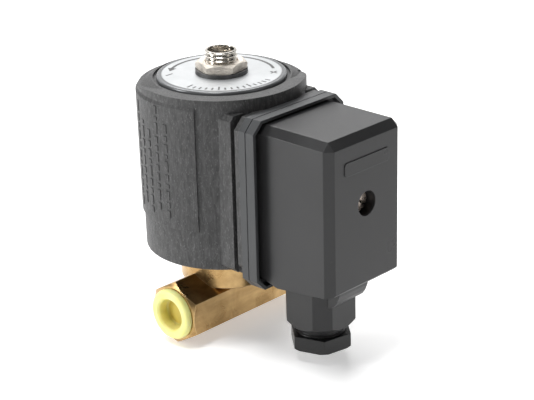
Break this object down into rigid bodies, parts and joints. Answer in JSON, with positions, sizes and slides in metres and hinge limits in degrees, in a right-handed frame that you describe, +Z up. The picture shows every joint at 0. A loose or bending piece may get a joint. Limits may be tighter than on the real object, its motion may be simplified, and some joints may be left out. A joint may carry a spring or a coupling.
{
  "type": "solenoid valve",
  "caption": "Direct-acting solenoid valve on a hexagonal brass body with a round moulded coil, a flow regulator in the top stud and a plug-on cable connector.",
  "frame": {"origin": "on the port axis where the inlet port's thread starts, 3.5 mm inside the body's inlet face", "axes": "+X is the flow direction from inlet to outlet, +Z is up along the valve's stem, and the cable connector faces -Y"},
  "size_m": [0.0652, 0.1041, 0.1111],
  "materials": {
    "brass_body": "turned and milled brass",
    "plug_plastic": "soft pale yellow polyethylene",
    "stainless": "drawn stainless steel",
    "bright_steel": "nickel-plated machined steel",
    "nut_nickel": "nickel-plated, slightly grainy",
    "washer_steel": "dark phosphated steel",
    "dial_metal": "satin aluminium with printed scale",
    "coil_plastic": "glass-filled plastic, speckled and matte",
    "cap_plastic": "smooth satin plastic",
    "frame_plastic": "smooth satin plastic, a shade greyer",
    "gland_plastic": "moulded nylon",
    "black_rubber": "moulded rubber",
    "copper": "bare copper",
    "enamelled_wire": "enamelled copper winding",
    "flux_steel": "zinc-plated mild steel",
    "bobbin_plastic": "natural nylon",
    "contact_brass": "tinned brass",
    "screw_steel": "zinc-plated steel"
  },
  "bodies": {
    "valve": {"valve_body": "brass_body", "armature_tube": "stainless", "tube_o_ring": "black_rubber", "fixed_core": "bright_steel", "shading_ring": "copper", "plunger_spring": "stainless"},
    "plunger": {"plunger": "stainless", "plunger_seal": "black_rubber"},
    "inlet_plug": {"inlet_plug": "plug_plastic"},
    "outlet_plug": {"outlet_plug": "plug_plastic"},
    "regulator_ring": {"regulator_o_ring": "black_rubber"},
    "regulator_screw": {"regulator_screw": "bright_steel"},
    "nut_washer": {"coil_washer": "washer_steel"},
    "coil_nut": {"coil_nut": "nut_nickel"},
    "coil": {"coil_housing": "coil_plastic", "dial_plate": "dial_metal", "bottom_flux_plate": "flux_steel", "top_flux_plate": "flux_steel", "yoke_sleeve": "flux_steel", "bobbin": "bobbin_plastic", "winding": "enamelled_wire", "base_gasket": "black_rubber", "line_blades": "contact_brass", "earth_blade": "contact_brass", "screw_insert": "contact_brass", "connector_base": "frame_plastic", "connector_gasket": "black_rubber"},
    "connector": {"connector_frame": "frame_plastic", "connector_cap": "cap_plastic", "terminal_carrier": "bobbin_plastic", "terminal_clamps": "contact_brass", "clamp_screws": "screw_steel", "gland_seal": "black_rubber"},
    "screw_ring": {"cap_screw_o_ring": "black_rubber"},
    "cap_screw": {"cap_screw": "screw_steel"},
    "gland_washer": {"gland_washer": "gland_plastic"},
    "gland_nut": {"gland_nut": "gland_plastic"}
  },
  "joints": [
    {"name": "plunger_lift", "type": "slide", "parent": "valve", "child": "plunger", "axis": [0, 0, 1], "range_m": [0, 0.002], "stiffness_N_per_m": 300, "springref_m": -0.008, "deforming": ["plunger_spring"]},
    {"name": "inlet_plug_pull", "type": "slide", "parent": "valve", "child": "inlet_plug", "axis": [-1, 0, 0], "range_m": [0, 0.06]},
    {"name": "outlet_plug_pull", "type": "slide", "parent": "valve", "child": "outlet_plug", "axis": [1, 0, 0], "range_m": [0, 0.06]},
    {"name": "regulator_travel", "type": "slide", "parent": "valve", "child": "regulator_ring", "axis": [0, 0, 1], "range_m": [0, 0.00159]},
    {"name": "regulator_turn", "type": "hinge", "parent": "regulator_ring", "child": "regulator_screw", "pos_m": [0.0265, 0, 0.095], "axis": [0, 0, 1], "range_deg": [0, 720]},
    {"name": "nut_travel", "type": "slide", "parent": "valve", "child": "nut_washer", "axis": [0, 0, 1], "range_m": [0, 0.00449]},
    {"name": "nut_turn", "type": "hinge", "parent": "nut_washer", "child": "coil_nut", "pos_m": [0.0265, 0, 0.093], "axis": [0, 0, 1], "range_deg": [0, 1080]},
    {"name": "coil_swivel", "type": "hinge", "parent": "valve", "child": "coil", "pos_m": [0.0265, 0, 0.05], "axis": [0, 0, 1], "range_deg": [-180, 180]},
    {"name": "connector_unplug", "type": "slide", "parent": "coil", "child": "connector", "axis": [0, -1, 0], "range_m": [0, 0.03]},
    {"name": "screw_travel", "type": "slide", "parent": "connector", "child": "screw_ring", "axis": [0, -1, 0], "range_m": [0, 0.00399]},
    {"name": "screw_turn", "type": "hinge", "parent": "screw_ring", "child": "cap_screw", "pos_m": [0.0265, -0.05, 0.0549], "axis": [0, -1, 0], "range_deg": [0, 2880]},
    {"name": "gland_travel", "type": "slide", "parent": "connector", "child": "gland_washer", "axis": [0, 0, -1], "range_m": [0, 0.00599]},
    {"name": "gland_turn", "type": "hinge", "parent": "gland_washer", "child": "gland_nut", "pos_m": [0.0265, -0.0486, -0.004], "axis": [0, 0, -1], "range_deg": [0, 1440]}
  ],
  "couplings": [
    {"joint": "regulator_turn", "follows": "regulator_travel", "rad_per_m": 7854},
    {"joint": "nut_turn", "follows": "nut_travel", "rad_per_m": 4188.8},
    {"joint": "screw_turn", "follows": "screw_travel", "rad_per_m": 12566},
    {"joint": "gland_turn", "follows": "gland_travel", "rad_per_m": 4188.8}
  ]
}
